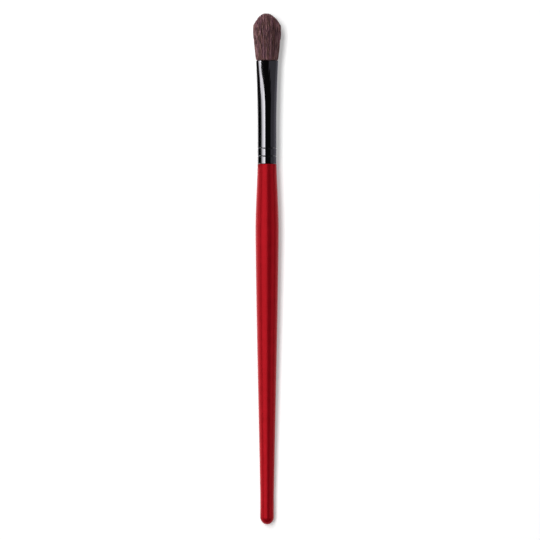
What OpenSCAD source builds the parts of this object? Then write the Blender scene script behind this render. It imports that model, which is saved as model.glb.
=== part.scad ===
// A domed eyeshadow brush, lying on its side with the wide face of its head up.
// Millimetres. +Y runs from the handle's tail to the tip of the hair, +Z is up,
// and the origin is on the table under the middle of the brush.

/* [Lengths] */
// Length of the handle that shows, from its tail to the ferrule
handle_len = 126.1; // [110:0.1:140]
// Length of the ferrule
ferrule_len = 36.2; // [34:0.1:42]
// Length of the hair beyond the ferrule's mouth
hair_len = 16.7; // [15:0.1:19]

/* [Handle] */
// Diameter of the handle's straight tail
tail_d = 4.82; // [4.2:0.02:5.2]
// Diameter of the handle at its fullest
belly_d = 8.2; // [7.4:0.02:8.6]
// Distance from the fullest place to the ferrule
belly_to_ferrule = 23.1; // [20:0.1:28]
// Length of the straight tail, rounded end included
tail_len = 10; // [8:0.5:14]
// Length of the rounded end
tail_round = 2.65; // [2:0.05:3.2]
// Length of the spigot that the ferrule is pressed on to
tenon_len = 11.2; // [9:0.1:11.4]

/* [Ferrule] */
// Outer diameter of the round barrel
barrel_d = 6.66; // [6.2:0.02:6.8]
// Length of the barrel, which stays round
barrel_len = 12; // [11.5:0.1:13]
// Thickness of the metal
wall = 0.3; // [0.25:0.01:0.4]
// Width across the oval mouth
mouth_w = 7.82; // [7.2:0.02:8]
// Thickness across the oval mouth
mouth_t = 5.3; // [4.8:0.02:5.6]
// Depth of the two rolled crimps
crimp_depth = 0.1; // [0.05:0.01:0.2]
// Width of each crimp
crimp_w = 0.55; // [0.4:0.05:0.8]

/* [Hair] */
// Number of modelled strands
strand_count = 330; // [300:1:334]
// Widest width of the tuft
tuft_w = 9.86; // [9.4:0.02:10.2]
// Thickness of the tuft at its widest place
tuft_t = 6.5; // [6:0.1:7]
// Height of the widest place above the ferrule's mouth
flare_at = 10; // [9:0.1:10.5]
// Height at which the outermost strands end
shoulder_at = 11.5; // [11.2:0.1:12.5]
// How far the dome falls towards the wide faces, as a share of its fall towards the edges
face_fall = 0.5; // [0.4:0.05:1]
// How far single strands fall short of the dome
ragged = 0.45; // [0:0.05:0.6]

/* [Hidden] */

$fn = 96;
sides = 60;               // flats round the drawn part of the ferrule and what fills it
golden_angle = 137.508;   // turn between strands laid in the pattern of a sunflower
glue_gap = 0.08;          // glue between the spigot and the barrel
fit = 0.03;               // clearance round what sits in the drawn part
seat = 0.012;             // how much thinner the drawn wall is than the barrel on each side

total_len = handle_len + ferrule_len + hair_len;
rest_h = belly_d / 2;     // the fullest place touches the table
mouth_z = handle_len + ferrule_len;
bore_r = barrel_d / 2 - wall;
tenon_r = bore_r - glue_gap;

// Crimps, measured from the ferrule's lower end
crimps = [2.7, 5.45];
crimp_steps = 8;

// The knot at the root of the hair, measured from the ferrule's mouth down
slice_top = -0.4;
slice_bottom = -1.2;
roots_bend = -8.0;
roots_neck = -8.8;
resin_bottom = -15.0;
neck_r = 2.05;
butt_r = 2.35;
butt_bottom = -13.2;
thread_d = 0.3;
thread_turns = 7;
thread_bottom = -12.2;
thread_arc_steps = 6;

// Strands: the radius is a share of the tuft's half width
strand_r = 0.05;
lip_z = 0.9;              // first bend, clear of the ferrule's lip
root_half = [3.36, 2.12];
lip_half = [3.9, 2.66];
tip_share = [0.93, 0.5];  // half width and thickness at the tip's height over the widest ones
last_bend = 0.6;          // share of the way from the widest place to a strand's own tip
last_r = 0.8;             // what is left of a strand's radius there

// Radius of the handle. Cubic curves join knots of place, radius and slope.
handle_knots = [
    [tail_len, tail_d / 2, 0.018],
    [handle_len - belly_to_ferrule - 7, belly_d / 2 - 0.063, 0.0113],
    [handle_len - belly_to_ferrule, belly_d / 2, 0],
    [handle_len, barrel_d / 2 + 0.01, -0.026]
];
handle_steps = [34, 4, 12];
round_steps = 10;
shoulder = 0.12;          // small bevel where the handle meets the ferrule

function hermite(p, q, t) =
    let (h = q[0] - p[0], u = t * t, v = t * t * t)
    (2 * v - 3 * u + 1) * p[1] + (v - 2 * u + t) * h * p[2]
    + (3 * u - 2 * v) * q[1] + (v - u) * h * q[2];

function between(a, b, t) = a + (b - a) * t;

function handle_side() = [
    for (k = [0 : len(handle_knots) - 2])
        for (i = [1 : handle_steps[k]])
            let (p = handle_knots[k], q = handle_knots[k + 1], t = i / handle_steps[k])
            if (k < len(handle_knots) - 2 || i < handle_steps[k])
                [hermite(p, q, t), between(p[0], q[0], t)]
];

// Depth of the rolled crimps at height z above the ferrule's lower end
function crimp(z) =
    let (near = min([for (c = crimps) abs(z - c)]))
    near < crimp_w / 2 ? crimp_depth * (1 + cos(360 * near / crimp_w)) / 2 : 0;

function barrel_heights(top) = concat(
    [0],
    [for (c = crimps) for (i = [0 : crimp_steps]) c + crimp_w * (i / crimp_steps - 0.5)],
    [top]
);

// A wall of radius r that follows the crimps from the lower end up to top
function crimped_wall(r, top) = [for (z = barrel_heights(top)) [r - crimp(z), handle_len + z]];

function reversed(list) = [for (i = [len(list) - 1 : -1 : 0]) list[i]];

// Points on an oval of half width a and half thickness b, at height z from the ferrule's mouth
function oval_ring(a, b, z) = [for (i = [0 : sides - 1])
    [a * cos(360 * i / sides), b * sin(360 * i / sides), mouth_z + z]];

// Outline of the drawn ferrule at height z from the mouth, which is below 0, moved in by inset.
// It goes from the round barrel to the oval mouth.
function outline(z, inset) =
    let (k = pow(max(1 + z / (ferrule_len - barrel_len), 0), 1.85))
    oval_ring(between(barrel_d, mouth_w, k) / 2 - inset, between(barrel_d, mouth_t, k) / 2 - inset, z);

// Triangles between ring k and the next one, of n points each, in a list of m rings
function band(k, next, n) = [
    for (i = [0 : n - 1])
        let (j = (i + 1) % n, a = k * n + i, b = k * n + j, c = next * n + i, d = next * n + j)
        each [[a, c, b], [b, c, d]]
];

// A closed solid through rings that are stacked upwards
module loft(rings) {
    n = len(rings[0]);
    top = len(rings) - 1;
    polyhedron(
        points = [for (ring = rings) each ring],
        faces = concat(
            [for (k = [0 : top - 1]) each band(k, k + 1, n)],
            [[for (i = [0 : n - 1]) i]],
            [[for (i = [n - 1 : -1 : 0]) top * n + i]]
        ),
        convexity = 4
    );
}

// A tube whose rings go up the outside and back down the inside
module tube(rings) {
    n = len(rings[0]);
    m = len(rings);
    polyhedron(
        points = [for (ring = rings) each ring],
        faces = [for (k = [0 : m - 1]) each band(k, (k + 1) % m, n)],
        convexity = 6
    );
}

// Lays the brush on its side: what is built standing up points along +Y
module lay_down() {
    translate([0, -total_len / 2, rest_h]) rotate([-90, 0, 0]) children();
}

// Turned hardwood with a red coat. The tail is straight for the last stretch, and the spigot
// at the other end is squeezed by the ferrule's crimps.
module handle() {
    tail_end = [for (i = [0 : round_steps])
        let (t = 90 * i / round_steps)
        [tail_d / 2 * sin(t), tail_round * (1 - cos(t))]];
    neck_end = handle_knots[len(handle_knots) - 1];
    color("firebrick")
        lay_down()
        rotate_extrude()
        polygon(concat(
            tail_end,
            [[tail_d / 2, tail_len]],
            handle_side(),
            [[neck_end[1], handle_len - shoulder], [neck_end[1] - shoulder, handle_len]],
            crimped_wall(tenon_r, tenon_len - 0.4),
            [[tenon_r - 0.4, handle_len + tenon_len], [0, handle_len + tenon_len]]
        ));
}

// Drawn metal tube: a round barrel with two rolled crimps, flattened towards its mouth
module ferrule() {
    heights = [for (i = [0 : 11]) (ferrule_len - barrel_len) * (i / 11 - 1)];
    color("black")
        lay_down()
        union() {
            rotate_extrude()
                polygon(concat(
                    crimped_wall(barrel_d / 2, barrel_len),
                    reversed(crimped_wall(bore_r, barrel_len))
                ));
            tube(concat(
                [for (z = heights) outline(z, seat)],
                [for (z = reversed(heights)) outline(z, wall - seat)]
            ));
        }
}

// The film that holds the spigot in the barrel
module tenon_glue() {
    film_len = tenon_len - 0.4;
    color("khaki")
        lay_down()
        rotate_extrude()
        polygon(concat(
            crimped_wall(bore_r, film_len),
            reversed(crimped_wall(tenon_r, film_len))
        ));
}

// Profile of the tied root of the hair, from its butt up to the neck
function root_profile() = [
    [0, mouth_z + butt_bottom],
    [butt_r - 0.2, mouth_z + butt_bottom],
    [butt_r, mouth_z + butt_bottom + 0.2],
    [butt_r, mouth_z + thread_bottom - 0.35],
    [neck_r, mouth_z + thread_bottom],
    [neck_r, mouth_z + roots_neck + 0.3],
    [0, mouth_z + roots_neck + 0.3]
];

// Outer side of the wound thread: one small arc for each turn
function thread_side() = [
    for (turn = [0 : thread_turns - 1])
        for (i = [0 : thread_arc_steps])
            let (t = 180 * i / thread_arc_steps)
            if (turn == 0 || i > 0)
                [neck_r + thread_d * (0.4 + 0.6 * sin(t)),
                 mouth_z + thread_bottom + thread_d * (turn + (1 - cos(t)) / 2)]
];

// Poured resin that grips the root, the thread and the metal
module resin_plug() {
    heights = [for (i = [0 : 4]) between(resin_bottom, roots_neck, i / 4)];
    color("goldenrod")
        lay_down()
        difference() {
            loft([for (z = heights) outline(z, wall + fit)]);
            rotate_extrude() polygon(root_profile());
            binding_sleeve();
        }
}

module binding_sleeve() {
    thread_top = thread_bottom + thread_turns * thread_d;
    rotate_extrude()
        polygon(concat(
            [[neck_r, mouth_z + thread_bottom]],
            thread_side(),
            [[neck_r, mouth_z + thread_top]]
        ));
}

// Thread wound side by side round the neck of the root
module binding_thread() {
    color("ivory") lay_down() binding_sleeve();
}

// The part of the hair that the ferrule holds: it fills the mouth and narrows to the tied neck
module hair_roots() {
    heights = [for (i = [0 : 4]) between(roots_bend, slice_bottom, i / 4)];
    color("saddlebrown")
        lay_down()
        union() {
            rotate_extrude() polygon(root_profile());
            loft(concat(
                [oval_ring(neck_r + 0.2, neck_r + 0.2, roots_neck + fit)],
                [for (z = heights) outline(z, wall + fit)]
            ));
        }
}

// Half width and half thickness of the sheaf of strands at height z above the mouth
function sheaf(z) =
    let (widest = [tuft_w, tuft_t] / 2)
    [for (axis = [0, 1])
        lookup(z, [
            [slice_top, root_half[axis]],
            [lip_z, lip_half[axis]],
            [flare_at, widest[axis]],
            [hair_len, widest[axis] * tip_share[axis]]
        ])];

// Height of the dome over the place that is rho of the way from the middle to the rim, at angle turn
function dome(rho, turn) =
    let (reach = rho * norm([cos(turn), face_fall * sin(turn)]))
    shoulder_at + (hair_len - shoulder_at) * pow(1 - pow(reach, 1.8), 0.75);

// Corners of strand i at height z. Every strand keeps its place in the unit circle, and the
// sheaf only stretches that circle, so strands never cross.
function strand_ring(rho, turn, z, r) =
    let (half = sheaf(z))
    [for (k = [0 : 2])
        [half[0] * (rho * cos(turn) + r * cos(turn + 120 * k)),
         half[1] * (rho * sin(turn) + r * sin(turn + 120 * k)),
         mouth_z + z]];

module strand(i) {
    rho = (1 - strand_r) * sqrt((i + 0.5) / strand_count);
    turn = i * golden_angle;
    fall = ragged * (i * 0.618034 - floor(i * 0.618034));
    tip_z = dome(rho, turn) - fall;
    bend_z = between(flare_at, tip_z, last_bend);
    half = sheaf(tip_z);
    tip = [half[0] * rho * cos(turn), half[1] * rho * sin(turn), mouth_z + tip_z];
    rings = [
        strand_ring(rho, turn, slice_top, strand_r),
        strand_ring(rho, turn, lip_z, strand_r),
        strand_ring(rho, turn, flare_at, strand_r),
        strand_ring(rho, turn, bend_z, strand_r * last_r)
    ];
    polyhedron(
        points = concat([for (ring = rings) each ring], [tip]),
        faces = concat(
            [for (k = [0 : 2]) each band(k, k + 1, 3)],
            [[0, 1, 2]],
            [for (k = [0 : 2]) [9 + k, 12, 9 + (k + 1) % 3]]
        )
    );
}

// The free hair: pointed three-sided strands that stand on a slice of the root,
// pressed to the exact width and thickness of the tuft
module hair_tuft() {
    slice_wall = outline(slice_bottom, wall + fit);
    slice_half_t = outline(slice_top, wall + fit)[sides / 4][1];
    pinch = slice_half_t / slice_wall[sides / 4][1];
    color("rosybrown")
        lay_down()
        resize([tuft_w, tuft_t, 0])
        union() {
            loft([for (z = [slice_bottom, slice_top])
                [for (p = slice_wall) [p[0], p[1] * pinch, mouth_z + z]]]);
            for (i = [0 : strand_count - 1]) strand(i);
        }
}

handle();
ferrule();
tenon_glue();
resin_plug();
binding_thread();
hair_roots();
hair_tuft();
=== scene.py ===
import math

import bpy
import numpy as np
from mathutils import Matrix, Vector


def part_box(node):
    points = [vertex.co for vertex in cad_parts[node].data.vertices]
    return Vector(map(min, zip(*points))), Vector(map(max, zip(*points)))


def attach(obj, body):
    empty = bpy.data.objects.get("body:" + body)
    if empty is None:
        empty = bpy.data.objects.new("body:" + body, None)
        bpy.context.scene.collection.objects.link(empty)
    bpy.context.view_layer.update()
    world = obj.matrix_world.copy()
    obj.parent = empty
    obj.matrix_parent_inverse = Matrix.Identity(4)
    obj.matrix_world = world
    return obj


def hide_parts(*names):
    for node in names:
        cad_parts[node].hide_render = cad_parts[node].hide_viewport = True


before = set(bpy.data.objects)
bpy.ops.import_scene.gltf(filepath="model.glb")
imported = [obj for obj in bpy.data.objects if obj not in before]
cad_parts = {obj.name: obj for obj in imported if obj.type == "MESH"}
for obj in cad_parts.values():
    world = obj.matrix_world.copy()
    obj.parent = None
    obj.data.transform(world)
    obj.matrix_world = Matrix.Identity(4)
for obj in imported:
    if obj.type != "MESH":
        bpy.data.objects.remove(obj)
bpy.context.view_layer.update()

# Camera
# The brush lies on a table and is seen from straight above, head up. The lens is long, so the far
# camera sees almost no perspective, only the faint arch of the seam between ferrule and handle.
MM = 0.001
PHOTO_PIXELS = 540
PIXEL = 0.35 * MM
CAMERA_DISTANCE = 0.83
SENSOR = 36.0
# How many pixels the middle of the picture lies to the right of the brush's own middle, and above it
PIXELS_RIGHT = 2.9
PIXELS_ABOVE = -1.35
axis_z = sum(corner[2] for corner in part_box("handle")) / 2
middle_x = PIXELS_RIGHT * PIXEL
middle_y = PIXELS_ABOVE * PIXEL

camera_data = bpy.data.cameras.new("camera")
camera_data.sensor_width = SENSOR
camera_data.lens = SENSOR * CAMERA_DISTANCE / (PHOTO_PIXELS * PIXEL)
camera_data.clip_start = 0.01
camera_data.clip_end = 20.0
camera = bpy.data.objects.new("camera", camera_data)
camera.location = (middle_x, middle_y, axis_z + CAMERA_DISTANCE)
bpy.context.collection.objects.link(camera)
bpy.context.scene.camera = camera
bpy.context.scene.view_settings.view_transform = "Standard"

# Handle
# Birch turned on a lathe: a straight slim tail, a long swell that is fullest some 23 mm before the
# ferrule, and a spigot that is glued into it. It is sprayed with a satin red lacquer that holds a
# little pearl, so that its light side glows and its shaded side stays deep.
tail_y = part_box("handle")[0][1]
spigot_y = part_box("handle")[1][1]
seam_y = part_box("ferrule")[0][1]
mouth_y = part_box("ferrule")[1][1]
handle_length = seam_y - tail_y
belly_radius = (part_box("handle")[1][2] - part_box("handle")[0][2]) / 2
barrel_radius = (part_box("ferrule")[1][2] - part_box("ferrule")[0][2]) / 2
TAIL_RADIUS = 2.41 * MM
TAIL_LENGTH = 10.0 * MM
TAIL_ROUND = 2.65 * MM
TAIL_SLOPE = 0.018
BELLY_TO_SEAM = 23.1 * MM
# The swell is this much slimmer and this steep a little before its fullest place
SWELL_BEFORE_BELLY = 7 * MM
SWELL_BELOW_BELLY = 0.063 * MM
SWELL_SLOPE = 0.0113
# The wood stands only just proud of the ferrule where they meet, and narrows towards it
SEAM_STEP = 0.01 * MM
SEAM_SLOPE = -0.026
SHOULDER_ROUND = 0.22 * MM
SPIGOT_RADIUS = 2.95 * MM
SPIGOT_START = 0.02 * MM
# The rounded end of the spigot: how far its points lie back from the end and in from the side
SPIGOT_END = np.array([(0.4, 0.0), (0.1, 0.28), (0.0, 0.6)]) * MM
CRIMPS = np.array([2.7, 5.45]) * MM
CRIMP_DEPTH = 0.1 * MM
CRIMP_WIDTH = 0.55 * MM
# How many rings of points each stretch of the handle has, with its ends, and how many points a ring has
TAIL_ROUND_RINGS = 25
TAIL_RINGS = 8
BODY_RINGS = 150
SHOULDER_RINGS = 9
SPIGOT_RINGS = 90
HANDLE_COLUMNS = 128


def handle_curve(places):
    """Radius of the handle at distances from its tail.

    Each knot gives a place, a radius, and the slope at which the radius grows. Between two knots the
    radius is the cubic of the place that has the radius and the slope of both.
    """
    belly_place = handle_length - BELLY_TO_SEAM
    knots = np.array([
        (TAIL_LENGTH, TAIL_RADIUS, TAIL_SLOPE),
        (belly_place - SWELL_BEFORE_BELLY, belly_radius - SWELL_BELOW_BELLY, SWELL_SLOPE),
        (belly_place, belly_radius, 0.0),
        (handle_length, barrel_radius + SEAM_STEP, SEAM_SLOPE),
    ])
    k = np.clip(np.searchsorted(knots[:, 0], places) - 1, 0, len(knots) - 2)
    start, end = knots[k], knots[k + 1]
    gap = end[:, 0] - start[:, 0]
    t = (places - start[:, 0]) / gap
    return ((2 * t**3 - 3 * t**2 + 1) * start[:, 1] + (t**3 - 2 * t**2 + t) * gap * start[:, 2]
            + (3 * t**2 - 2 * t**3) * end[:, 1] + (t**3 - t**2) * gap * end[:, 2])


def crimp(heights):
    """Depth of the rolled crimps at heights above the seam: one wave of a cosine on each crimp."""
    near = np.abs(heights[:, None] - CRIMPS[None]).min(axis=1)
    wave = CRIMP_DEPTH * (1 + np.cos(2 * np.pi * near / CRIMP_WIDTH)) / 2
    return np.where(near < CRIMP_WIDTH / 2, wave, 0)


def put_mesh(name, points, triangles):
    """A smooth shaded object at the origin from an array of points and an array of triangles."""
    mesh = bpy.data.meshes.new(name)
    mesh.vertices.add(len(points))
    mesh.vertices.foreach_set("co", np.ascontiguousarray(points, dtype=np.float32).ravel())
    mesh.loops.add(3 * len(triangles))
    mesh.loops.foreach_set("vertex_index", np.ascontiguousarray(triangles, dtype=np.int32).ravel())
    mesh.polygons.add(len(triangles))
    mesh.polygons.foreach_set("loop_start", np.arange(0, 3 * len(triangles), 3, dtype=np.int32))
    mesh.polygons.foreach_set("use_smooth", np.ones(len(triangles), dtype=bool))
    mesh.update(calc_edges=True)
    piece = bpy.data.objects.new(name, mesh)
    bpy.context.collection.objects.link(piece)
    return piece


def between_rings(rows, columns, closed):
    """Triangles of a grid of points whose rows are closed loops.

    If closed, the last row joins the first.
    """
    row = np.arange(rows if closed else rows - 1)[:, None]
    column = np.arange(columns)[None]
    here, right = row * columns + column, row * columns + (column + 1) % columns
    above = (row + 1) % rows * columns + column
    above_right = (row + 1) % rows * columns + (column + 1) % columns
    lower = np.stack([here, right, above], axis=-1)
    upper = np.stack([right, above_right, above], axis=-1)
    return np.concatenate([lower.reshape(-1, 3), upper.reshape(-1, 3)])


def turned(name, places, radii, columns):
    """A turned solid that closes in a pole at each end.

    The point at place s and angle t is (r sin t, s, r cos t) from the axis.
    """
    t = 2 * np.pi * np.arange(columns) / columns
    rings = np.stack([
        radii[1:-1, None] * np.sin(t),
        tail_y + places[1:-1, None] + 0 * t,
        axis_z + radii[1:-1, None] * np.cos(t),
    ], axis=-1)
    poles = np.array([(0, tail_y + places[0], axis_z), (0, tail_y + places[-1], axis_z)])
    rows = len(rings)
    first, last = rows * columns, rows * columns + 1
    column = np.arange(columns)
    beside = (column + 1) % columns
    top = (rows - 1) * columns
    fans = np.concatenate([
        np.stack([0 * column + first, beside, column], axis=1),
        np.stack([0 * column + last, top + column, top + beside], axis=1),
    ])
    triangles = np.concatenate([between_rings(rows, columns, False), fans])
    return put_mesh(name, np.concatenate([rings.reshape(-1, 3), poles]), triangles)


tail_turn = np.linspace(0, np.pi / 2, TAIL_ROUND_RINGS)
tail_places = np.linspace(TAIL_ROUND, TAIL_LENGTH, TAIL_RINGS)[1:-1]
body_places = np.linspace(TAIL_LENGTH, handle_length - SHOULDER_ROUND, BODY_RINGS)
shoulder_turn = np.linspace(0, np.pi / 2, SHOULDER_RINGS)[1:]
shoulder_radius = handle_curve(body_places[-1:])[0]
spigot_heights = np.linspace(SPIGOT_START, spigot_y - seam_y - SPIGOT_END[0, 0], SPIGOT_RINGS)
spigot_end = [(spigot_y - tail_y - back, SPIGOT_RADIUS - inset) for back, inset in SPIGOT_END[1:]]
handle_profile = np.concatenate([
    np.stack([TAIL_ROUND * (1 - np.cos(tail_turn)), TAIL_RADIUS * np.sin(tail_turn)], axis=1),
    np.stack([tail_places, np.full_like(tail_places, TAIL_RADIUS)], axis=1),
    np.stack([body_places, handle_curve(body_places)], axis=1),
    np.stack([
        body_places[-1] + SHOULDER_ROUND * np.sin(shoulder_turn),
        shoulder_radius - SHOULDER_ROUND * (1 - np.cos(shoulder_turn)),
    ], axis=1),
    np.stack([handle_length + spigot_heights, SPIGOT_RADIUS - crimp(spigot_heights)], axis=1),
    np.array(spigot_end + [(spigot_y - tail_y, 0)]),
])
handle = turned("handle_lacquered", handle_profile[:, 0], handle_profile[:, 1], HANDLE_COLUMNS)


def linear(text):
    """An sRGB hex colour as linear RGBA.

    A channel c becomes c / 12.92 up to 0.04045, and ((c + 0.055) / 1.055) ** 2.4 above it.
    """
    channels = [int(text[i:i + 2], 16) / 255 for i in (1, 3, 5)]
    return [c / 12.92 if c <= 0.04045 else ((c + 0.055) / 1.055) ** 2.4 for c in channels] + [1.0]


def new_material(name):
    """An empty node material with its output node."""
    material = bpy.data.materials.new(name)
    material.use_nodes = True
    material.node_tree.nodes.clear()
    return material, material.node_tree.nodes.new("ShaderNodeOutputMaterial")


def add(tree, kind, values=(), links=(), **settings):
    """Adds a node with its own settings.

    Values fill its sockets, and links join outputs of other nodes to its sockets.
    """
    node = tree.nodes.new("ShaderNode" + kind)
    for key, value in settings.items():
        setattr(node, key, value)
    for socket, value in dict(values).items():
        node.inputs[socket].default_value = value
    for socket, output in dict(links).items():
        tree.links.new(output, node.inputs[socket])
    return node


def satin_red_lacquer():
    """Satin red lacquer with pearl over sanded birch.

    The pearl throws back a broad red glow from each light. The matting agent in the top coat leaves
    hardly any white gloss on it, and the sanded grain shows as faint ripples along the handle.
    """
    material, output = new_material("satin_red_lacquer")
    tree = material.node_tree
    place = add(tree, "TexCoord").outputs["Object"]
    grain_place = add(tree, "Mapping", {"Scale": (1 / (0.5 * MM), 1 / (14 * MM), 1 / (0.5 * MM))},
                      {"Vector": place})
    grain = add(tree, "TexNoise", {"Scale": 1.0, "Detail": 3.0, "Roughness": 0.6},
                {"Vector": grain_place.outputs["Vector"]})
    cloud = add(tree, "TexNoise", {"Scale": 1 / (3 * MM), "Detail": 2.0}, {"Vector": place})
    # Pearl flakes are some 0.03 mm wide. They are drawn at 0.12 mm so that they show at all.
    flakes = add(tree, "TexNoise", {"Scale": 1 / (0.12 * MM), "Detail": 1.0}, {"Vector": place})
    tint = add(tree, "ValToRGB", links={"Fac": cloud.outputs["Fac"]})
    tint.color_ramp.elements[0].position = 0.3
    tint.color_ramp.elements[0].color = linear("#a9101b")
    tint.color_ramp.elements[1].position = 0.7
    tint.color_ramp.elements[1].color = linear("#b2121f")
    roughness = add(tree, "MapRange", {"To Min": 0.27, "To Max": 0.33}, {"Value": cloud.outputs["Fac"]})
    ripple = add(tree, "Bump", {"Strength": 0.35, "Distance": 0.004 * MM},
                 {"Height": grain.outputs["Fac"]})
    sparkle = add(tree, "Bump", {"Strength": 0.3, "Distance": 0.002 * MM},
                  {"Height": flakes.outputs["Fac"], "Normal": ripple.outputs["Normal"]})
    shader = add(tree, "BsdfPrincipled", {"Metallic": 0.35, "IOR": 1.5, "Specular IOR Level": 0.05},
                 {"Base Color": tint.outputs["Color"], "Roughness": roughness.outputs["Result"],
                  "Normal": sparkle.outputs["Normal"]})
    tree.links.new(shader.outputs["BSDF"], output.inputs["Surface"])
    return material


handle.data.materials.append(satin_red_lacquer())
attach(handle, "root")
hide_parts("handle")

# Ferrule
# Brass tube, drawn flat and wide towards its mouth, rolled into the spigot with two crimps and plated
# black nickel. The plate is a mirror that gives back about a tenth of the light, so it looks black
# wherever the room over it is dark.
WALL = 0.3 * MM
BARREL_LENGTH = 12.0 * MM
FLATTENING = 1.85
MOUTH_HALF_THICKNESS = 2.65 * MM
CRIMP_LIP = 0.006 * MM
LIP_REACH = 0.4 * MM
LIP_SPREAD = 0.13 * MM
MOUTH_ROUND = 0.28 * MM
# Rings of the tube lie close together up to this far from the middle of each crimp
CLOSE_RINGS = 0.7 * MM
# How many rings of points the barrel, the drawn part, each crimp and each edge have, with their ends, and
# how many points a ring has. Inside, only every second ring is kept.
BARREL_RINGS = 50
DRAWN_RINGS = 70
CRIMP_RINGS = 43
EDGE_RINGS = 9
FERRULE_COLUMNS = 192
ferrule_length = mouth_y - seam_y
mouth_half_width = (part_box("ferrule")[1][0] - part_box("ferrule")[0][0]) / 2


def drawn_section(heights, insets, angles):
    """Points of the ferrule at heights above the seam.

    The section is an oval: the point at angle t is (a sin t, b cos t) from the axis. Its half width a
    grows and its half thickness b shrinks from the barrel's radius to those of the mouth. Both follow
    the share of the way from barrel to mouth, raised to the power FLATTENING.
    """
    share = np.clip((heights - BARREL_LENGTH) / (ferrule_length - BARREL_LENGTH), 0, 1) ** FLATTENING
    share, inset = share[:, None], insets[:, None]
    a = barrel_radius + (mouth_half_width - barrel_radius) * share - inset
    b = barrel_radius + (MOUTH_HALF_THICKNESS - barrel_radius) * share - inset
    return np.stack([
        a * np.sin(angles),
        seam_y + heights[:, None] + 0 * angles,
        axis_z + b * np.cos(angles),
    ], axis=-1)


def rolled(heights):
    """How far the crimps push the wall in at heights above the seam.

    Rolling raises a low lip on each side of a crimp: a bell curve about LIP_REACH from its middle.
    """
    near = np.abs(heights[:, None] - CRIMPS[None])
    lips = (CRIMP_LIP * np.exp(-(((near - LIP_REACH) / LIP_SPREAD) ** 2))).sum(axis=1)
    return crimp(heights) - lips


def ferrule_tube():
    """The tube: rings up the outside, over the lip, down the inside and round the lower edge.

    The lip is a quarter circle and the lower edge a half circle.
    """
    half = WALL / 2
    round_start = ferrule_length - MOUTH_ROUND
    plain = np.concatenate([
        np.linspace(half, BARREL_LENGTH, BARREL_RINGS),
        np.linspace(BARREL_LENGTH, round_start, DRAWN_RINGS)[1:],
    ])
    close = (CRIMPS[:, None] + np.linspace(-CLOSE_RINGS, CLOSE_RINGS, CRIMP_RINGS)).ravel()
    outside = np.unique(np.concatenate([plain, close]))
    inside = outside[::-2]
    lip_turn = np.linspace(0, np.pi / 2, EDGE_RINGS)[1:]
    edge_turn = np.linspace(0, np.pi, EDGE_RINGS)[1:-1]
    heights = np.concatenate([
        outside,
        round_start + MOUTH_ROUND * np.sin(lip_turn),
        inside,
        half - half * np.sin(edge_turn),
    ])
    insets = np.concatenate([
        rolled(outside),
        MOUTH_ROUND * (1 - np.cos(lip_turn)),
        WALL + crimp(inside),
        half * (1 + np.cos(edge_turn)),
    ])
    angles = 2 * np.pi * np.arange(FERRULE_COLUMNS) / FERRULE_COLUMNS
    rings = drawn_section(heights, insets, angles)
    triangles = between_rings(len(rings), FERRULE_COLUMNS, True)
    return put_mesh("ferrule_plated", rings.reshape(-1, 3), triangles)


def black_nickel_plate():
    """Bright black nickel on polished brass.

    A dark mirror: sharp reflections at a tenth of their strength, hardly tinted, and hairline polishing
    marks that run round the tube.
    """
    material, output = new_material("black_nickel_plate")
    tree = material.node_tree
    place = add(tree, "TexCoord").outputs["Object"]
    # Polishing lines are some 0.02 mm apart. They are drawn 0.25 mm apart so that they show at all.
    line_place = add(tree, "Mapping", {"Scale": (1 / (6 * MM), 1 / (0.25 * MM), 1 / (6 * MM))},
                     {"Vector": place})
    lines = add(tree, "TexNoise", {"Scale": 1.0, "Detail": 2.0},
                {"Vector": line_place.outputs["Vector"]})
    smears = add(tree, "TexNoise", {"Scale": 1 / (4 * MM), "Detail": 3.0}, {"Vector": place})
    roughness = add(tree, "MapRange",
                    {"From Min": 0.35, "From Max": 0.75, "To Min": 0.04, "To Max": 0.07},
                    {"Value": smears.outputs["Fac"]})
    tint = add(tree, "ValToRGB", links={"Fac": smears.outputs["Fac"]})
    tint.color_ramp.elements[0].color = linear("#59585b")
    tint.color_ramp.elements[1].color = linear("#555457")
    polish = add(tree, "Bump", {"Strength": 0.2, "Distance": 0.001 * MM},
                 {"Height": lines.outputs["Fac"]})
    shader = add(tree, "BsdfPrincipled", {"Metallic": 1.0},
                 {"Base Color": tint.outputs["Color"], "Roughness": roughness.outputs["Result"],
                  "Normal": polish.outputs["Normal"]})
    tree.links.new(shader.outputs["BSDF"], output.inputs["Surface"])
    return material


ferrule = ferrule_tube()
ferrule.data.materials.append(black_nickel_plate())
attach(ferrule, "root")
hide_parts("ferrule")

# Hair
# Fine dyed filaments, tapered to a point, shaped in a mould so that they flare from the oval mouth
# into a domed tuft. They cling together in small wavy locks, which shows as pale and dark streaks.
HAIR_COUNT = 7500
HAIRS_IN_A_PIECE = 2500
LOCK_COUNT = 400
HAIR_RADIUS = 0.042 * MM
HAIR_RINGS = 14
HAIR_SIDES = 3
HAIR_SEED = 20
# Heights from the ferrule's mouth: where a hair starts, where the rings of its free length start, where
# it has drawn in to its lock as far as it does, and where it sways to its full width
HAIR_START = -1.1 * MM
SPREAD_FROM = 0.5 * MM
DRAWN_IN_FROM = 5 * MM
LOOSE_FROM = 3.5 * MM
# A hair's rings are spread evenly up to the first share of its free length, and closer at its tip
EVEN_RINGS_TO = 0.93
TIP_RINGS = [0.975, 1.0]
# How far the hairs and the locks lie from an even spread. This and the sways are shares of the way from
# the tuft's middle to its edge.
ROOT_SCATTER = 0.006
LOCK_SCATTER = 0.016
# The least and the most that a lock draws its hairs in, and that a hair follows its lock
LOCK_GRIP = (0.3, 0.8)
HAIR_GRIP = (0.6, 1.0)
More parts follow.
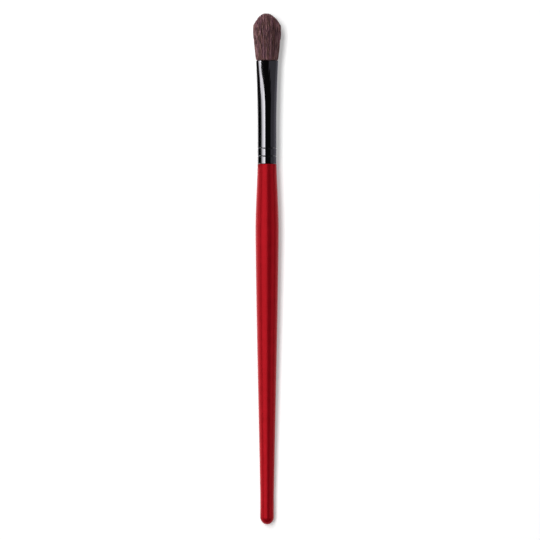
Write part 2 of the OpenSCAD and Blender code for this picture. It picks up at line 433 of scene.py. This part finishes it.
# How far the locks and the single hairs sway, how long a wave is, and by what factors that varies
LOCK_SWAY = 0.028
LOCK_WAVE = 6 * MM
HAIR_SWAY = 0.012
HAIR_WAVE = 4.5 * MM
WAVE_RANGE = (0.7, 1.4)
# A few hairs are strays, which sway by themselves four times as far as the others
STRAY_FACTORS = [1.0, 4.0]
STRAY_SHARES = [0.93, 0.07]
# A lock ends short of the dome by up to the first length, and each hair by the second on average on top
# of it. Half of the hairs end only a tenth as short.
LOCK_SHORT = 0.25 * MM
HAIR_SHORT = 0.4 * MM
SHORT_FACTORS = [0.1, 1.0]
SHORTEST_HAIR = 7 * MM
# The dome's top lies about this share of the half width left of the middle, and the dome falls less
# towards the wide faces than towards the edges
DOME_LEAN = 0.085
FACE_FALL = 0.45
GOLDEN_ANGLE = math.radians(137.508)
# Where single hairs end: how far out across the width and how far up the length, both as shares
DOME_PLACES = [0.0, 0.25, 0.42, 0.58, 0.70, 0.81, 0.90, 0.96, 0.99, 1.01]
DOME_HEIGHTS = [1.0, 0.99, 0.96, 0.92, 0.88, 0.835, 0.79, 0.75, 0.71, 0.67]
# Half width and half thickness of the tuft going up, as shares of its widest
SHEAF_HEIGHTS = [-0.1, 0.0, 0.03, 0.09, 0.21, 0.38, 0.52, 0.6, 0.72, 0.85, 1.0]
SHEAF_WIDTHS = [0.70, 0.725, 0.80, 0.83, 0.872, 0.934, 0.992, 1.0, 0.994, 0.975, 0.95]
SHEAF_THICKNESSES = [0.65, 0.70, 0.79, 0.83, 0.89, 0.95, 0.99, 0.995, 0.93, 0.76, 0.5]
tip_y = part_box("hair_tuft")[1][1]
hair_length = tip_y - mouth_y
tuft_half_width = (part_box("hair_tuft")[1][0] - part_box("hair_tuft")[0][0]) / 2
tuft_half_thickness = (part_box("hair_tuft")[1][2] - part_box("hair_tuft")[0][2]) / 2


def sunflower(count):
    """Points spread evenly over the unit disc, count of them.

    Each is turned from the last by the golden angle, and its radius is the root of its share.
    """
    i = np.arange(count)
    radius = np.sqrt((i + 0.5) / count)
    return np.stack([radius * np.cos(i * GOLDEN_ANGLE), radius * np.sin(i * GOLDEN_ANGLE)], axis=1)


def sheaf(disc, heights):
    """Places points of the unit disc in the tuft at heights above the mouth.

    They are stretched to its oval there, and points outside the disc are brought to its edge.
    """
    share = heights / hair_length
    reach = np.maximum(np.hypot(disc[..., 0], disc[..., 1]), 1.0)
    across = disc[..., 0] / reach * np.interp(share, SHEAF_HEIGHTS, SHEAF_WIDTHS)
    up = disc[..., 1] / reach * np.interp(share, SHEAF_HEIGHTS, SHEAF_THICKNESSES)
    return np.stack([
        (tuft_half_width - HAIR_RADIUS) * across,
        mouth_y + heights,
        axis_z + (tuft_half_thickness - HAIR_RADIUS) * up,
    ], axis=-1)


def sway(random, owners, swing, length, heights):
    """Sideways sway of the hairs at their heights.

    On each axis it is size x sin(2 pi height / length + phase). Hairs with the same owner sway together.
    """
    count = owners.max() + 1
    sizes = random.normal(0, swing, (count, 1, 2))[owners]
    lengths = random.uniform(*WAVE_RANGE, (count, 1, 2))[owners] * length
    phases = random.uniform(0, 2 * np.pi, (count, 1, 2))[owners]
    return sizes * np.sin(2 * np.pi * heights[..., None] / lengths + phases)


def hair_paths():
    """Middle lines of all hairs, their own tints, their locks' tints, and where the rings lie on a hair.

    A hair starts inside the ferrule at its own place in the disc, draws in towards the middle of its
    lock, and sways with the lock and a little by itself. Its tip ends on the dome, less a short random
    length. Its first two rings lie at its start and at the mouth.
    """
    random = np.random.default_rng(HAIR_SEED)
    roots = sunflower(HAIR_COUNT) + random.normal(0, ROOT_SCATTER, (HAIR_COUNT, 2))
    locks = sunflower(LOCK_COUNT) + random.normal(0, LOCK_SCATTER, (LOCK_COUNT, 2))
    lock = np.linalg.norm(roots[:, None] - locks[None], axis=2).argmin(axis=1)
    offset = roots - locks[lock]
    grip = random.uniform(*LOCK_GRIP, LOCK_COUNT)[lock] * random.uniform(*HAIR_GRIP, HAIR_COUNT)
    tip_places = locks[lock] + offset * (1 - grip[:, None])
    lean = DOME_LEAN * np.clip(1 - np.abs(tip_places[:, 0]), 0, 1)
    reach = np.hypot(tip_places[:, 0] + lean, FACE_FALL * tip_places[:, 1])
    short = random.uniform(0, LOCK_SHORT, LOCK_COUNT)[lock] + random.exponential(HAIR_SHORT, HAIR_COUNT)
    tips = np.interp(reach, DOME_PLACES, DOME_HEIGHTS) * hair_length
    tips = np.clip(tips - short * random.choice(SHORT_FACTORS, HAIR_COUNT), SHORTEST_HAIR, hair_length)
    rooted_rings = [HAIR_START, 0.0]
    even_rings = HAIR_RINGS - len(rooted_rings) - len(TIP_RINGS)
    free = np.append(np.linspace(0, EVEN_RINGS_TO, even_rings), TIP_RINGS)
    along = np.append([0.0, 0.0], free)
    rooted = np.tile(rooted_rings, (HAIR_COUNT, 1))
    heights = np.append(rooted, SPREAD_FROM + (tips[:, None] - SPREAD_FROM) * free, axis=1)
    stray = random.choice(STRAY_FACTORS, (HAIR_COUNT, 1, 1), p=STRAY_SHARES)
    wave = sway(random, lock, LOCK_SWAY, LOCK_WAVE, heights)
    wave = wave + stray * sway(random, np.arange(HAIR_COUNT), HAIR_SWAY, HAIR_WAVE, heights)
    loose = np.clip(heights / LOOSE_FROM, 0, 1)[..., None]
    drawn_in = (1 - grip[:, None] * np.clip(heights / DRAWN_IN_FROM, 0, 1))[..., None]
    disc = locks[lock][:, None] + offset[:, None] * drawn_in + wave * loose
    own_tint = random.uniform(0, 1, HAIR_COUNT)
    lock_tint = random.uniform(0, 1, LOCK_COUNT)[lock]
    return sheaf(disc, heights), own_tint, lock_tint, along


def hair_piece(name, paths, own_tint, lock_tint, along):
    """Hairs as three-sided tubes that taper to a point, with rings square to the brush's length.

    At the share s of its length, a ring's radius is HAIR_RADIUS x (1.1 - s ** 8, at most 1) ** 0.7.
    """
    count = len(paths)
    taper = HAIR_RADIUS * np.clip(1.1 - along**8, 0, 1) ** 0.7
    turn = 2 * np.pi * np.arange(HAIR_SIDES) / HAIR_SIDES
    spin = np.random.default_rng(count).uniform(0, 2 * np.pi, count)[:, None, None]
    angle = turn + spin
    radius = taper[None, :-1, None]
    rings = paths[:, :-1, None] + np.stack([
        radius * np.cos(angle), 0 * angle + 0 * radius, radius * np.sin(angle)], axis=-1)
    ring_points = (HAIR_RINGS - 1) * HAIR_SIDES
    points = np.concatenate([rings.reshape(count, ring_points, 3), paths[:, -1:]], axis=1)
    one_tube = between_rings(HAIR_RINGS - 1, HAIR_SIDES, False)
    side = np.arange(HAIR_SIDES)
    beside = (side + 1) % HAIR_SIDES
    top = ring_points - HAIR_SIDES
    ends = np.concatenate([
        np.stack([top + side, top + beside, 0 * side + ring_points], axis=1),
        np.array([[0, 2, 1]]),
    ])
    one_hair = np.concatenate([one_tube, ends])[:, ::-1]
    triangles = (one_hair[None] + (np.arange(count) * (ring_points + 1))[:, None, None]).reshape(-1, 3)
    piece = put_mesh(name, points.reshape(-1, 3), triangles)
    point_along = np.append(np.repeat(along[:-1], HAIR_SIDES), 1.0)
    for title, values in (
        ("hair_tint", np.repeat(own_tint, ring_points + 1)),
        ("lock_tint", np.repeat(lock_tint, ring_points + 1)),
        ("along", np.tile(point_along, count)),
    ):
        layer = piece.data.attributes.new(title, "FLOAT", "POINT")
        layer.data.foreach_set("value", values.astype(np.float32))
    return piece


def dyed_hair():
    """Dyed filament with a dull sheen.

    Hairs differ from plum to brown and from dark to pale, single hairs somewhat more than whole locks.
    The thin tips are painted a little paler, as painted light on the dome.
    Short pale and dark strokes are a painted sheen of hairs too fine to show.
    """
    material, output = new_material("dyed_hair")
    tree = material.node_tree
    own = add(tree, "Attribute", attribute_name="hair_tint").outputs["Fac"]
    lock = add(tree, "Attribute", attribute_name="lock_tint").outputs["Fac"]
    along = add(tree, "Attribute", attribute_name="along").outputs["Fac"]
    place = add(tree, "TexCoord").outputs["Object"]
    # Streaks of one hue are some 0.7 mm wide and 7 mm long, as wide as two locks.
    streak_place = add(tree, "Mapping", {"Scale": (1 / (0.7 * MM), 1 / (7 * MM), 1 / (0.7 * MM))},
                       {"Vector": place})
    streaks = add(tree, "TexNoise", {"Scale": 1.0, "Detail": 2.0},
                  {"Vector": streak_place.outputs["Vector"]})
    single = add(tree, "Math", {1: 0.6}, {0: own}, operation="MULTIPLY")
    blend = add(tree, "Math", {1: 0.4}, {0: lock, 2: single.outputs["Value"]}, operation="MULTIPLY_ADD")
    shade = add(tree, "ValToRGB", links={"Fac": blend.outputs["Value"]})
    shade.color_ramp.elements[0].position = 0.1
    shade.color_ramp.elements[0].color = linear("#221213")
    shade.color_ramp.elements[1].position = 0.9
    shade.color_ramp.elements[1].color = linear("#b78f92")
    shade.color_ramp.elements.new(0.5).color = linear("#623d3f")
    hue = add(tree, "ValToRGB", links={"Fac": streaks.outputs["Fac"]})
    hue.color_ramp.elements[0].position = 0.38
    hue.color_ramp.elements[0].color = linear("#785543")
    hue.color_ramp.elements[1].position = 0.62
    hue.color_ramp.elements[1].color = linear("#7e5165")
    colour = add(tree, "Mix", {"Factor": 0.35}, {"A": shade.outputs["Color"], "B": hue.outputs["Color"]},
                 data_type="RGBA")
    # Painted light: from 0.76 of a hair's length on, its colour is painted up to 1.55 times brighter
    # towards the tip
    painted_tip_light = add(tree, "MapRange", {"From Min": 0.76, "To Min": 1.0, "To Max": 1.55}, {"Value": along})
    # Painted glints: pale and dark strokes stand for the sheen of single filaments.
    # A filament is some 0.08 mm thick. Its glints are drawn 0.36 mm wide so that they show at all.
    glint_place = add(tree, "Mapping",
                       {"Scale": (1 / (0.36 * MM), 1 / (2.4 * MM), 1 / (0.36 * MM))},
                       {"Vector": place})
    glint_noise = add(tree, "TexNoise", {"Scale": 1.0, "Detail": 1.0, "Distortion": 0.8},
                  {"Vector": glint_place.outputs["Vector"]})
    painted_glint = add(tree, "MapRange", {"From Min": 0.35, "From Max": 0.65, "To Min": 0.62, "To Max": 1.42},
                 {"Value": glint_noise.outputs["Fac"]})
    value = add(tree, "Math", links={0: painted_tip_light.outputs["Result"], 1: painted_glint.outputs["Result"]},
                operation="MULTIPLY")
    lit = add(tree, "HueSaturation",
              links={"Color": colour.outputs["Result"], "Value": value.outputs["Value"]})
    shader = add(tree, "BsdfPrincipled", {"Roughness": 0.5, "IOR": 1.55, "Specular IOR Level": 0.2},
                 {"Base Color": lit.outputs["Color"]})
    tree.links.new(shader.outputs["BSDF"], output.inputs["Surface"])
    return material


# The layers are told apart by how far from the axis their hairs lie at this ring, the inner ones first
LAYER_RING = 4
hair_finish = dyed_hair()
paths, own_tint, lock_tint, along = hair_paths()
order = np.argsort(np.hypot(paths[:, LAYER_RING, 0], paths[:, LAYER_RING, 2] - axis_z))
hair_layers = []
for layer in range(HAIR_COUNT // HAIRS_IN_A_PIECE):
    chosen = order[layer * HAIRS_IN_A_PIECE:(layer + 1) * HAIRS_IN_A_PIECE]
    hairs = hair_piece(f"hair_layer_{layer}", paths[chosen], own_tint[chosen], lock_tint[chosen], along)
    hairs.data.materials.append(hair_finish)
    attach(hairs, "root")
    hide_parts("hair_tuft")
    hair_layers.append(hairs)

# Glue, resin, thread and root
# What holds the brush together inside the ferrule. None of it shows, so the solids keep their plain
# shape and get the finish of the real stuff: yellow wood glue, amber epoxy, waxed thread, packed hair.

# The finish of each: its name, dark and pale colour, how wide its blotches are, and its other values
HIDDEN_FINISHES = {
    "tenon_glue": ("dried_wood_glue", "#b89a52", "#d8c38a", 1.2 * MM, {"Roughness": 0.35, "IOR": 1.48}),
    "resin_plug": ("poured_epoxy", "#8a5a1c", "#a8742c", 2.0 * MM, {"Roughness": 0.12, "IOR": 1.55}),
    "binding_thread": ("waxed_thread", "#c9c0ae", "#e4ddcf", 0.15 * MM, {"Roughness": 0.6}),
    "hair_roots": ("packed_hair_ends", "#2a1a1b", "#4d3536", 0.12 * MM, {"Roughness": 0.6}),
}


def finish_node(name, material):
    """Gives a solid of the frame its material in every slot."""
    for material_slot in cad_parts[name].material_slots:
        material_slot.material = material


def speckled(name, dark, pale, grain, values):
    """A material whose colour wanders between two hex colours in blotches about grain metres wide."""
    material, output = new_material(name)
    tree = material.node_tree
    place = add(tree, "TexCoord").outputs["Object"]
    noise = add(tree, "TexNoise", {"Scale": 1 / grain, "Detail": 4.0}, {"Vector": place})
    colour = add(tree, "ValToRGB", links={"Fac": noise.outputs["Fac"]})
    colour.color_ramp.elements[0].position = 0.35
    colour.color_ramp.elements[0].color = linear(dark)
    colour.color_ramp.elements[1].position = 0.65
    colour.color_ramp.elements[1].color = linear(pale)
    bump = add(tree, "Bump", {"Strength": 0.3, "Distance": grain / 10}, {"Height": noise.outputs["Fac"]})
    shader = add(tree, "BsdfPrincipled", values,
                 {"Base Color": colour.outputs["Color"], "Normal": bump.outputs["Normal"]})
    tree.links.new(shader.outputs["BSDF"], output.inputs["Surface"])
    return material


for node, finish in HIDDEN_FINISHES.items():
    finish_node(node, speckled(*finish))

# Studio
# White paper lies under one long high lamp on the left, which gives the brush its narrow shadow.
# Softboxes on the left and dim cards on the right light the ferrule, the hair and the lacquer, each
# flagged to its own piece. More cards lie on the table for the reflections, and the room is dark.
LAMP_DISTANCE = 0.6
TABLE_LAMP_DISTANCE = 2.0
# The softbox, in strips: angle, spread, from and to along the brush, and how bright it is
SOFTBOX_STRIPS = (
    (-25.7, 3.4, -0.3, 0.128, 9.2), (-30.2, 5.6, -0.3, 0.139, 8.6), (-36, 6, -0.3, 0.144, 7.8),
    (-42, 6, -0.3, 0.146, 7.0), (-47, 4, -0.3, 0.147, 6.5), (-53, 8, -0.3, 0.135, 5.6),
    (-60, 6, -0.3, 0.118, 4.1), (-66, 6, -0.3, 0.118, 3.0), (-71, 4, -0.3, 0.118, 1.2),
    (-53, 8, 0.135, 0.144, 8.8), (-56, 2, 0.144, 0.4, 12.5), (-53.5, 3, 0.151, 0.4, 12.5),
    (-50.5, 3, 0.156, 0.4, 12.5),
    (-65.5, 17, 0.118, 0.4, 6.8), (-78, 8, 0.124, 0.4, 4.0),
)
# The grey card, which is cut in steps towards the head
CARD_PARTS = ((67, 46, -0.3, 0.4), (40, 8, 0.133, 0.4), (31, 10, 0.152, 0.4), (19.5, 13, 0.170, 0.4))
CARD_GLOW = 0.31
CARD_TINT = "#eceaf8"
# Cards that lie on the table, two beside the ferrule and the bright one beside the handle: name, from
# and to across the brush, from and to along it, colour, and how bright it is
TABLE_CARDS = (
    ("black_card", (-0.4, -0.010), (seam_y, 0.2), "#050505", 1.0),
    ("table_grey_card", (0.0065, 0.4), (seam_y, 0.2), "#bcbac6", 1.0),
    ("bright_card", (-0.026, -0.003), (tail_y + 0.004, seam_y - 0.001), "#ffffff", 2.0),
)
CARD_LIFT = 0.5 * MM
TABLE_GAP = 0.02 * MM
PAPER_SIZE = 6.0
PAPER_GLOW = 0.40


def flagged(name, pieces):
    """The collection of pieces that a lamp shines on."""
    lit = bpy.data.collections.new(name)
    for piece in pieces:
        lit.objects.link(piece)
    return lit


def lamp(name, angle, spread, reach, glow, lit, distance=LAMP_DISTANCE):
    """A rectangular lamp that faces the brush from its side, angle degrees off straight up.

    Seen from the brush it is spread degrees wide, and it reaches from one place along the brush to
    another. Its radiance is glow: watts = glow x pi x area.
    """
    data = bpy.data.lights.new(name, "AREA")
    data.shape = "RECTANGLE"
    data.size = 2 * distance * math.tan(math.radians(spread / 2))
    data.size_y = reach[1] - reach[0]
    data.energy = glow * math.pi * data.size * data.size_y
    light = bpy.data.objects.new(name, data)
    turn = math.radians(angle)
    light.location = (distance * math.sin(turn), sum(reach) / 2, axis_z + distance * math.cos(turn))
    light.rotation_euler = (0, turn, 0)
    light.visible_camera = False
    light.light_linking.receiver_collection = lit
    bpy.context.collection.objects.link(light)
    return light


plate = flagged("lit_plate", [ferrule])
for number, (angle, spread, start, end, glow) in enumerate(SOFTBOX_STRIPS):
    lamp(f"softbox_strip_{number}", angle, spread, (start, end), glow, plate)
for number, (angle, spread, start, end) in enumerate(CARD_PARTS):
    card = lamp(f"grey_card_{number}", angle, spread, (start, end), CARD_GLOW, plate)
    card.data.color = linear(CARD_TINT)[:3]

tuft = flagged("lit_tuft", hair_layers)
lamp("tuft_softbox", -72, 32, (-0.2, 0.6), 8.4, tuft)
lamp("tuft_top", -25, 44, (-0.1, 0.7), 0.5, tuft)
lamp("tuft_card", 49, 64, (-0.2, 0.4), 1.6, tuft)

lacquer = flagged("lit_lacquer", [handle])
lamp("lacquer_strip", -30, 60, (-0.3, 0.3), 2.02, lacquer)
lamp("lacquer_low_strip", -82, 16, (-0.3, 0.3), 1.5, lacquer)
lamp("lacquer_card", 61, 38, (-0.3, 0.3), 0.84, lacquer)


def white_paper():
    """Matt white paper.

    Seen directly or in a reflection it glows a little, which keeps it white but leaves the shadow.
    """
    material, output = new_material("white_paper")
    tree = material.node_tree
    path = add(tree, "LightPath").outputs
    seen = add(tree, "Math", links={0: path["Is Camera Ray"], 1: path["Is Glossy Ray"]},
               operation="ADD")
    seen = add(tree, "Math", links={0: seen.outputs["Value"], 1: path["Is Transmission Ray"]},
               operation="ADD")
    seen.use_clamp = True
    strength = add(tree, "Math", {1: PAPER_GLOW}, {0: seen.outputs["Value"]}, operation="MULTIPLY")
    glow = add(tree, "Emission", links={"Strength": strength.outputs["Value"]})
    matt = add(tree, "BsdfDiffuse", {"Color": linear("#eaeaea")})
    both = add(tree, "AddShader", links={0: glow.outputs["Emission"], 1: matt.outputs["BSDF"]})
    tree.links.new(both.outputs["Shader"], output.inputs["Surface"])
    return material


def card_face(name, colour, glow):
    """The face of a card: an even colour that glows by itself and needs no lamp."""
    material, output = new_material(name)
    face = add(material.node_tree, "Emission", {"Color": linear(colour), "Strength": glow})
    material.node_tree.links.new(face.outputs["Emission"], output.inputs["Surface"])
    return material


def sheet_on_table(name, left, right, start, end, lift, material):
    """A flat sheet that lies lift above the table, from left to right and from start to end.

    Its height falls along the brush from the tail on, at the slope of the table.
    """
    corners = np.array([(left, start), (right, start), (right, end), (left, end)])
    heights = table_at_tail - table_fall * (corners[:, 1] - tail_rest_y) + lift
    points = np.column_stack([corners, heights])
    sheet = put_mesh(name, points, np.array([(0, 1, 2), (0, 2, 3)]))
    sheet.data.materials.append(material)
    return sheet


# The brush stays level in its frame, so the table slopes until it touches the tail and the belly
tail_rest_y = tail_y + TAIL_ROUND
table_at_tail = axis_z - TAIL_RADIUS - TABLE_GAP
table_fall = ((handle_curve(body_places) - TAIL_RADIUS) / (body_places - TAIL_ROUND)).max()
half_paper = PAPER_SIZE / 2
paper = sheet_on_table("paper", -half_paper, half_paper, -half_paper, half_paper, 0, white_paper())
lamp("table_lamp", -17, 18, (-0.3, 1.3), 12.1, flagged("lit_table", [paper]), TABLE_LAMP_DISTANCE)

# Only reflections show these cards. The black one draws the ferrule's dark left edge, the grey one dims
# its right side, and the bright one draws the handle's bright left rim.
for name, across, reach, colour, glow in TABLE_CARDS:
    card = sheet_on_table(name, *across, *reach, CARD_LIFT, card_face(name, colour, glow))
    card.visible_camera = False
    card.visible_diffuse = False
    card.visible_shadow = False
    card.visible_transmission = False


def dark_room():
    """The room: white where the camera looks past the paper, and almost dark for everything else."""
    world = bpy.data.worlds.new("dark_room")
    world.use_nodes = True
    tree = world.node_tree
    tree.nodes.clear()
    path = add(tree, "LightPath").outputs
    strength = add(tree, "MapRange", {"To Min": 0.03, "To Max": 1.0}, {"Value": path["Is Camera Ray"]})
    background = add(tree, "Background", links={"Strength": strength.outputs["Result"]})
    output = add(tree, "OutputWorld")
    tree.links.new(background.outputs["Background"], output.inputs["Surface"])
    return world


bpy.context.scene.world = dark_room()
